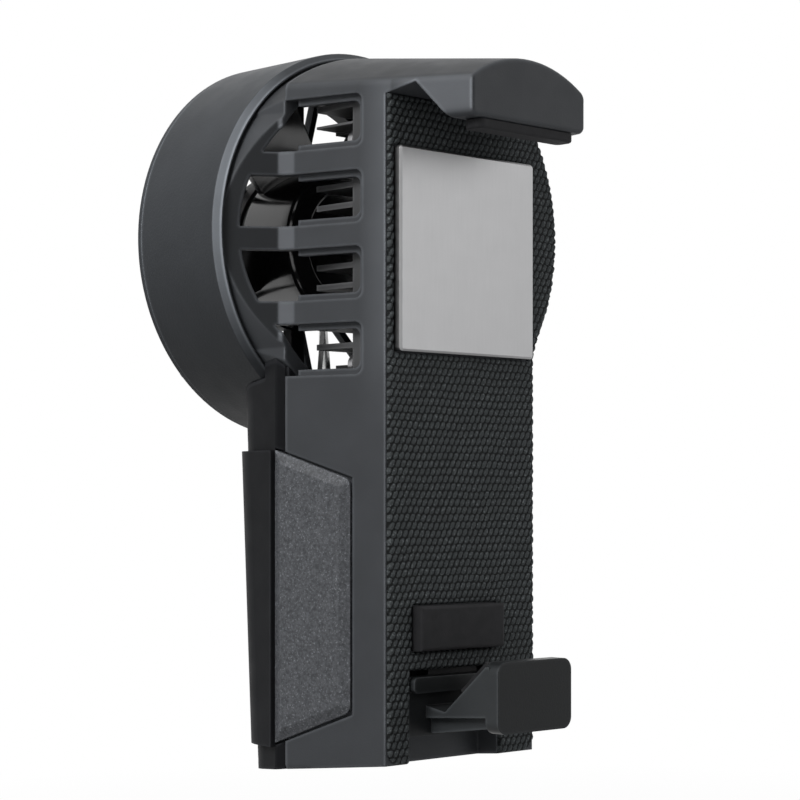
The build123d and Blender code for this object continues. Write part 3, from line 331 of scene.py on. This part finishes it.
def moulded(name, color, roughness, gloss=0.14, grain_mm=0.22, depth_mm=0.012, edge_mm=0.45,
            lift=2.0, roll_mm=0.15, painted_facets=(), lightened=False):
    """Moulded plastic: fine eroded grain, mottled shade and gloss, edges lighter from wear and
    painted highlight.
    """
    m = Material(name, color, roughness)
    mottle = m.noise(7.0, 3.0)
    shade = m.blend(mottle, tinted(color, 0.92), tinted(color, 1.08), *NOISE_BAND)
    shade = m.worn_and_highlighted(shade, edge_mm, lift)
    rolled = m.rounded(roll_mm)
    # Painted highlights and painted shade on faces turned towards given directions
    for direction, low_at, level in painted_facets:
        shade = m.scaled(shade, m.facing(rolled, direction, low_at, level))
    # Painted light on the left wall's front and the upper hook's left side
    if lightened:
        shade = m.scaled(shade, left_painted_light(m, rolled))
    m.color(shade)
    m.roughness(m.ranged(m.noise(3.0, 4.0), *NOISE_BAND, roughness - 0.04, roughness + 0.05))
    m.bump(m.noise(grain_mm, 2.0), depth_mm, after=rolled)
    m.specular(gloss)
    return m.material


def speckled(name, color):
    """Grip insert: spark-eroded grey with light and dark specks."""
    m = Material(name, color, 0.5)
    fine = m.noise(0.34, 2.0)
    coarse = m.noise(1.0, 3.0)
    mix = m.math("ADD", m.math("MULTIPLY", fine, 0.65), m.math("MULTIPLY", coarse, 0.35))
    shade = m.blend(mix, tinted(color, 0.55), tinted(color, 1.15), 0.36, 0.66)
    bright_spots = m.ranged(m.noise(0.2, 1.0), 0.6, 0.72, 1.0, 2.2)
    # Edges lighter: partly rubbed wear, partly a painted highlight
    m.color(m.worn_and_highlighted(m.scaled(shade, bright_spots), reach_mm=0.5, lift=2.2))
    m.bump(mix, depth_mm=0.05, after=m.rounded(0.25))
    m.specular(0.2)
    return m.material


def woven(name, color):
    """Woven pad: rows of short slanted yarn ends, with painted highlights on their crests, painted
    shade in the grooves and painted glints.
    """
    m = Material(name, color, 0.68)
    split = m.node("ShaderNodeSeparateXYZ", Vector=m.place)
    x, z = split.outputs["X"], split.outputs["Z"]
    waves = []
    for by_x, by_z in SWAY_WAVES:
        phase = m.math("ADD", m.math("MULTIPLY", x, by_x), m.math("MULTIPLY", z, by_z))
        waves.append(m.math("SINE", phase))
    sway = m.math("MULTIPLY", m.math("ADD", *waves), WEAVE_SWAY)
    row = m.math("ADD", m.math("DIVIDE", z, WEAVE_PITCH), sway)
    row_number = m.math("FLOOR", row)
    along = m.math("SUBTRACT", m.math("SUBTRACT", row, row_number), 0.5)
    column = m.math("MULTIPLY_ADD", row_number, WEAVE_SHIFT, m.math("DIVIDE", x, WEAVE_PITCH))
    column = m.math("MULTIPLY_ADD", along, WEAVE_SLANT, column)
    column_number = m.math("FLOOR", column)
    across = m.math("SUBTRACT", m.math("SUBTRACT", column, column_number), 0.5)
    across_share = m.math("ABSOLUTE", m.math("DIVIDE", across, WEAVE_WIDTH))
    across_part = m.math("POWER", across_share, 2.0)
    along_share = m.math("ABSOLUTE", m.math("DIVIDE", along, 0.5))
    along_part = m.math("POWER", along_share, 3.0)
    lump = m.math("SUBTRACT", 1.0, m.math("ADD", across_part, along_part))
    lump = m.math("SQRT", m.math("MAXIMUM", lump, 0.0))
    by_row, by_column = CHANCE_TURNS
    turns = m.math("MULTIPLY", column_number, by_column)
    turns = m.math("ADD", m.math("MULTIPLY", row_number, by_row), turns)
    chance = m.math("FRACT", m.math("MULTIPLY", m.math("SINE", turns), CHANCE_SPREAD))
    height = m.math("MULTIPLY", lump, m.ranged(chance, 0.0, 1.0, LOWEST_LUMP, 1.0))
    yarn = m.math("MULTIPLY", m.noise(0.2, 3.0), 0.9)
    height = m.math("ADD", height, yarn)
    # Painted highlight on the crests and painted shade in the grooves
    shade = m.blend(height, tinted(color, 0.25), tinted(color, 2.1), 0.55, 1.55)
    # Painted glints: small bright spots on the yarn
    bright_spots = m.ranged(m.noise(0.3, 2.0), 0.56, 0.7, 1.0, 2.6)
    m.color(m.scaled(shade, bright_spots))
    m.bump(yarn, depth_mm=0.16)
    m.specular(0.12)
    return m.material


def satin_metal(name, color, roughness):
    """Satin metal: faint drawn lines, a soft blotchy gloss and edges lighter from wear and painted
    highlight.
    """
    m = Material(name, color, roughness, 1.0)
    lines = m.noise(0.3, 4.0, m.stretched((1.0, 1.0, 0.06)))
    m.roughness(m.ranged(m.noise(2.5, 3.0), *NOISE_BAND, roughness - 0.01, roughness + 0.01))
    shade = m.blend(lines, tinted(color, 0.985), tinted(color, 1.015), *NOISE_BAND)
    m.color(m.worn_and_highlighted(shade, reach_mm=0.3, lift=1.5))
    m.bump(lines, depth_mm=0.001, after=m.rounded(0.12))
    return m.material


def machined(name, color, roughness):
    """Plain metal of screws, fins and springs."""
    m = Material(name, color, roughness, 1.0)
    m.color(m.blend(m.noise(1.2, 3.0), tinted(color, 0.85), tinted(color, 1.1), *NOISE_BAND))
    m.roughness(m.ranged(m.noise(0.6, 3.0), *NOISE_BAND, roughness - 0.06, roughness + 0.06))
    m.bump(m.noise(0.15, 2.0), depth_mm=0.006)
    return m.material


def soft(name, color, roughness):
    """Rubber and foam: matt, with a very fine open grain."""
    m = Material(name, color, roughness)
    m.color(m.blend(m.noise(1.5, 4.0), tinted(color, 0.85), tinted(color, 1.15), *NOISE_BAND))
    m.bump(m.noise(0.12, 3.0), depth_mm=0.015, after=m.rounded(0.15))
    m.specular(0.15)
    return m.material


def board(name, color):
    """Circuit board lacquer with faint tracks under it."""
    m = Material(name, color, 0.3)
    tracks = m.node("ShaderNodeTexWave", Scale=0.55, Distortion=3.0, Vector=m.place)
    m.color(m.blend(tracks.outputs["Fac"], color, tinted(color, 1.6), 0.45, 0.6))
    m.bump(tracks.outputs["Fac"], depth_mm=0.02)
    return m.material


def slot_materials():
    """One material for each slot of the record."""
    colors = {}
    for entry in frame["record"]["materials"]:
        colors[entry["slot"]] = tuple(entry["base_color"][:3])
    return {
        "charcoal_plastic": moulded(
            "charcoal_plastic", cooled(colors["charcoal_plastic"]), 0.48,
            roll_mm=0.5, painted_facets=HOUSING_PAINTED_LIGHT, lightened=True,
        ),
        "ring_plastic": moulded(
            "ring_plastic", cooled(tinted(colors["ring_plastic"], RING_SHADE)), 0.42,
            gloss=0.06, grain_mm=0.3, depth_mm=0.03, roll_mm=0.2, painted_facets=RING_PAINTED_LIGHT,
        ),
        "inner_plastic": moulded("inner_plastic", colors["inner_plastic"], 0.5),
        "rotor_plastic": moulded(
            "rotor_plastic", colors["rotor_plastic"], 0.14,
            gloss=0.9, grain_mm=0.6, depth_mm=0.002, edge_mm=0.3, lift=3.0,
        ),
        "speckled_plastic": speckled("speckled_plastic", colors["speckled_plastic"]),
        "woven_fabric": woven("woven_fabric", cooled(colors["woven_fabric"])),
        "black_rubber": soft("black_rubber", colors["black_rubber"], 0.7),
        "grey_foam": soft("grey_foam", colors["grey_foam"], 0.85),
        "satin_plate": satin_metal(
            "satin_plate", tinted(colors["satin_plate"], PLATE_SHADE), 0.42,
        ),
        "sink_aluminium": moulded(
            "sink_aluminium", tinted(colors["sink_aluminium"], SINK_SHADE), 0.45, gloss=0.4,
        ),
        "white_ceramic": soft("white_ceramic", colors["white_ceramic"], 0.6),
        "screw_steel": machined("screw_steel", colors["screw_steel"], 0.35),
        "core_steel": machined("core_steel", colors["core_steel"], 0.5),
        "spring_steel": machined("spring_steel", colors["spring_steel"], 0.3),
        "socket_steel": machined("socket_steel", colors["socket_steel"], 0.25),
        "magnet_iron": machined("magnet_iron", colors["magnet_iron"], 0.6),
        "bearing_brass": machined("bearing_brass", colors["bearing_brass"], 0.4),
        "board_green": board("board_green", colors["board_green"]),
    }


def dress_nodes():
    """Gives every CAD node the material of its slot, and a few a darker one of their own."""
    materials = slot_materials()
    for entry in frame["record"]["subparts"]:
        data = frame["nodes"][entry["node"]].data
        data.materials.clear()
        data.materials.append(materials[entry["material_slot"]])
    grip = moulded("grip_plastic", GRIP_COLOR, 0.55, gloss=0.06)
    hook = moulded("hook_plastic", HOOK_COLOR, 0.36, gloss=0.12, painted_facets=HOOK_PAINTED_LIGHT)
    dark_board = board("dark_board", DARK_BOARD_COLOR)
    own = (("grip_sleeve", grip), ("rear_shell", grip), ("lower_hook", hook),
           ("fan_board", dark_board))
    for node, material in own:
        frame["nodes"][node].data.materials[0] = material
    woven_face(materials["woven_fabric"])


def weave_height(x, z):
    """Height of the weave, 0 in a groove and 1 on a crest, and nearness to a row's middle."""
    sway = WEAVE_SWAY * sum(np.sin(x * by_x + z * by_z) for by_x, by_z in SWAY_WAVES)
    row = z / WEAVE_PITCH + sway
    row_number = np.floor(row)
    along = row - row_number - 0.5
    column = x / WEAVE_PITCH + row_number * WEAVE_SHIFT + along * WEAVE_SLANT
    column_number = np.floor(column)
    across = column - column_number - 0.5
    along_part = np.abs(along / 0.5) ** 3
    lump = np.sqrt(np.maximum(1 - np.abs(across / WEAVE_WIDTH) ** 2 - along_part, 0))
    by_row, by_column = CHANCE_TURNS
    chance = np.sin(row_number * by_row + column_number * by_column) * CHANCE_SPREAD
    chance -= np.floor(chance)
    return lump * (LOWEST_LUMP + (1 - LOWEST_LUMP) * chance), 1 - along_part


def face_outline(data):
    """Border edges of the node's front face, in millimetres, as start and end points (x, z)."""
    points = np.array([vertex.co for vertex in data.vertices]) / MM
    front = points[:, 1].min() + FACE_DEPTH
    used = {}
    for polygon in data.polygons:
        if max(points[i][1] for i in polygon.vertices) < front:
            for key in polygon.edge_keys:
                used[key] = used.get(key, 0) + 1
    border = [key for key, times in used.items() if times == 1]
    starts = np.array([points[a][[0, 2]] for a, b in border])
    ends = np.array([points[b][[0, 2]] for a, b in border])
    return starts, ends, points[:, 1].min(), points[:, 1].max()


def border_distance(places, starts, ends):
    """Distance of each place from the nearest border edge."""
    nearest = np.full(len(places), np.inf)
    for start, end in zip(starts, ends):
        run = end - start
        share = np.clip((places - start) @ run / max(run @ run, TINY), 0, 1)
        nearest = np.minimum(nearest, np.linalg.norm(places - start - share[:, None] * run, axis=1))
    return nearest


def inside_border(places, starts, ends):
    """Whether each place lies inside the border, counted by the edges to its right."""
    inside = np.zeros(len(places), bool)
    for (x1, z1), (x2, z2) in zip(starts, ends):
        if z1 == z2:
            continue
        crosses = (z1 > places[:, 1]) != (z2 > places[:, 1])
        inside ^= crosses & (places[:, 0] < x1 + (places[:, 1] - z1) * (x2 - x1) / (z2 - z1))
    return inside


def filled(places, edges, starts, ends):
    """Triangles between the places, inside the border."""
    found = delaunay_2d_cdt([Vector(place) for place in places], edges, [], 1, MERGE_MM)
    where = np.array([tuple(place) for place in found[0]])
    triangles = [face for face in found[2] if len(face) == 3]
    middles = where[np.array(triangles)].mean(axis=1)
    keep = inside_border(middles, starts, ends)
    return where, [face for face, kept in zip(triangles, keep) if kept]


def border_chain(starts, ends):
    """The border cut into short steps: its places and the edges between them."""
    places, chain, known = [], [], {}

    def numbered(place):
        key = (round(place[0], 4), round(place[1], 4))
        if key not in known:
            known[key] = len(places)
            places.append(place)
        return known[key]

    for start, end in zip(starts, ends):
        parts = max(1, math.ceil(np.linalg.norm(end - start) / WEAVE_STEP))
        run = [numbered(start + (end - start) * i / parts) for i in range(parts + 1)]
        chain += list(zip(run, run[1:]))
    return places, chain


def grid_places(starts, ends):
    """Places of a square grid, inside the border and a little clear of it."""
    low, high = starts.min(axis=0), starts.max(axis=0)
    columns = np.arange(low[0], high[0], WEAVE_STEP)
    rows = np.arange(low[1], high[1], WEAVE_STEP)
    grid = np.stack(np.meshgrid(columns, rows), axis=-1).reshape(-1, 2)
    grid = grid[inside_border(grid, starts, ends)]
    return grid[border_distance(grid, starts, ends) > WEAVE_STEP * BORDER_CLEARANCE]


def raised(where, starts, ends, front):
    """The places lifted into the weave, with a rolled border that waves along the outer edges."""
    height, crest = weave_height(where[:, 0], where[:, 1])
    near = border_distance(where, starts, ends)
    short = WEAVE_ROLL - np.minimum(near, WEAVE_ROLL)
    rolled = WEAVE_ROLL - np.sqrt(WEAVE_ROLL ** 2 - short ** 2)
    outer = np.clip((np.abs(where[:, 0]) - EDGE_WAVE_FROM_X) / EDGE_WAVE_RISE, 0, 1)
    outer *= np.clip(1 - near / EDGE_WAVE_REACH, 0, 1)
    across = where[:, 0] - np.sign(where[:, 0]) * EDGE_WAVE * (1 - crest) * outer
    return np.stack([across, front + WEAVE_RELIEF * (1 - height) + rolled, where[:, 1]], axis=1)


def closed(points, where, triangles, starts, ends, back):
    """The raised front with walls around it and a flat back: all points and faces."""
    used = dict.fromkeys(
        edge for face in triangles for edge in zip(face, face[1:] + face[:1])
    )
    rim = [(a, b) for a, b in used if (b, a) not in used]
    rim_points = sorted({i for edge in rim for i in edge})
    behind = {i: len(points) + place for place, i in enumerate(rim_points)}
    back_points = points[rim_points]
    back_points[:, 1] = back
    order = {i: place for place, i in enumerate(rim_points)}
    back_edges = [(order[a], order[b]) for a, b in rim]
    back_where, back_faces = filled(where[rim_points], back_edges, starts, ends)
    turned = {}
    for i, place in enumerate(back_where):
        distance = np.abs(where[rim_points] - place).sum(axis=1)
        turned[i] = behind[rim_points[int(distance.argmin())]]
    faces = [tuple(face) for face in triangles]
    faces += [(b, a, behind[a], behind[b]) for a, b in rim]
    faces += [tuple(turned[i] for i in reversed(face)) for face in back_faces]
    return np.concatenate([points, back_points]), faces


def woven_face(material):
    """The woven pad as a thin sheet whose front is raised yarn by yarn."""
    starts, ends, front, back = face_outline(frame["nodes"]["woven_pad"].data)
    border, chain = border_chain(starts, ends)
    places = np.concatenate([border, grid_places(starts, ends)])
    where, triangles = filled(places, chain, starts, ends)
    points = raised(where, starts, ends, front)
    points, faces = closed(points, where, triangles, starts, ends, back)

    mesh = bpy.data.meshes.new("woven_face")
    mesh.from_pydata((points * MM).tolist(), [], faces)
    mesh.validate()
    mesh.polygons.foreach_set("use_smooth", [True] * len(mesh.polygons))
    mesh.materials.append(material)
    piece = bpy.data.objects.new("woven_face", mesh)
    bpy.context.scene.collection.objects.link(piece)
    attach(piece, "body")
    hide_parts("woven_pad")


def white_world():
    """White for the camera and for reflections, plain soft light for the rest."""
    world = bpy.data.worlds.new("studio")
    bpy.context.scene.world = world
    world.use_nodes = True
    nodes = world.node_tree.nodes
    links = world.node_tree.links
    nodes.clear()
    output = nodes.new("ShaderNodeOutputWorld")
    mix = nodes.new("ShaderNodeMixShader")
    soft_light = nodes.new("ShaderNodeBackground")
    soft_light.inputs["Color"].default_value = WHITE
    direction = nodes.new("ShaderNodeTexCoord")
    split = nodes.new("ShaderNodeSeparateXYZ")
    links.new(direction.outputs["Generated"], split.inputs["Vector"])
    height = nodes.new("ShaderNodeMapRange")
    for name, value in zip(("From Min", "From Max", "To Min", "To Max"), WORLD_RISE + WORLD_LIGHT):
        height.inputs[name].default_value = value
    links.new(split.outputs["Z"], height.inputs["Value"])
    links.new(height.outputs["Result"], soft_light.inputs["Strength"])
    white = nodes.new("ShaderNodeBackground")
    white.inputs["Color"].default_value = WHITE
    white.inputs["Strength"].default_value = 1.0
    rays = nodes.new("ShaderNodeLightPath")
    seen = nodes.new("ShaderNodeMath")
    seen.operation = "MAXIMUM"
    links.new(rays.outputs["Is Camera Ray"], seen.inputs[0])
    links.new(rays.outputs["Is Transmission Ray"], seen.inputs[1])
    mirrored = nodes.new("ShaderNodeMath")
    mirrored.operation = "MAXIMUM"
    links.new(seen.outputs[0], mirrored.inputs[0])
    links.new(rays.outputs["Is Glossy Ray"], mirrored.inputs[1])
    links.new(mirrored.outputs[0], mix.inputs["Fac"])
    links.new(soft_light.outputs[0], mix.inputs[1])
    links.new(white.outputs[0], mix.inputs[2])
    links.new(mix.outputs[0], output.inputs["Surface"])


def pale_floor():
    """Floor under the lowered hook's reach: white to the camera, with the part's soft shadow."""
    reach = FLOOR_REACH * MM
    height = cad_low[2] - (HOOK_TRAVEL + FLOOR_GAP) * MM
    ways = ((-1, -1), (1, -1), (1, 1), (-1, 1))
    corners = [(x * reach, y * reach, height) for x, y in ways]
    mesh = bpy.data.meshes.new("floor")
    mesh.from_pydata(corners, [], [(0, 1, 2, 3)])
    floor = bpy.data.objects.new("floor", mesh)
    bpy.context.scene.collection.objects.link(floor)
    m = Material("floor_white", (FLOOR_GREY,) * 3, 0.9)
    darker, lighter = FLOOR_GREY - FLOOR_MOTTLE, FLOOR_GREY + FLOOR_MOTTLE
    m.color(m.blend(m.noise(60.0, 2.0), (darker,) * 3, (lighter,) * 3))
    distance = m.node("ShaderNodeVectorMath")
    distance.operation = "LENGTH"
    m.links.new(m.place, distance.inputs[0])
    whiteness = m.ranged(distance.outputs["Value"], *FLOOR_FADE, *FLOOR_WHITENESS)
    white = m.node("ShaderNodeEmission", Color=WHITE, Strength=1.0)
    mix = m.node("ShaderNodeMixShader")
    rays = m.node("ShaderNodeLightPath")
    seen = m.math("MAXIMUM", rays.outputs["Is Camera Ray"], rays.outputs["Is Glossy Ray"])
    seen = m.math("MAXIMUM", seen, rays.outputs["Is Transmission Ray"])
    share = m.math("MULTIPLY", seen, whiteness)
    m.links.new(share, mix.inputs["Fac"])
    m.links.new(m.shader.outputs[0], mix.inputs[1])
    m.links.new(white.outputs[0], mix.inputs[2])
    output = m.nodes["Material Output"]
    m.links.new(mix.outputs[0], output.inputs["Surface"])
    mesh.materials.append(m.material)


def area_light(name, place_mm, target_mm, size_mm, watts):
    data = bpy.data.lights.new(name, "AREA")
    data.shape = "RECTANGLE"
    data.size = size_mm[0] * MM
    data.size_y = size_mm[1] * MM
    data.energy = watts
    light = bpy.data.objects.new(name, data)
    bpy.context.scene.collection.objects.link(light)
    place = Vector(place_mm) * MM
    light.location = place
    light.rotation_euler = (Vector(target_mm) * MM - place).to_track_quat("-Z", "Y").to_euler()


def studio_lights():
    """Broad soft lamps: the main one left, before and above, the others weak fills."""
    for lamp in LAMPS:
        area_light(*lamp)


def photo_camera():
    data = bpy.data.cameras.new("photo_camera")
    data.lens = CAMERA_LENS
    data.sensor_width = SENSOR_WIDTH
    data.shift_y = CAMERA_SHIFT
    data.clip_start = CAMERA_CLIP * MM
    camera = bpy.data.objects.new("photo_camera", data)
    bpy.context.scene.collection.objects.link(camera)
    camera.location = Vector(CAMERA_PLACE) * MM
    camera.rotation_euler = (math.radians(90), 0, math.radians(CAMERA_AZIMUTH))
    bpy.context.scene.camera = camera


dress_nodes()
white_world()
pale_floor()
studio_lights()
photo_camera()
bpy.context.scene.view_settings.view_transform = "Standard"
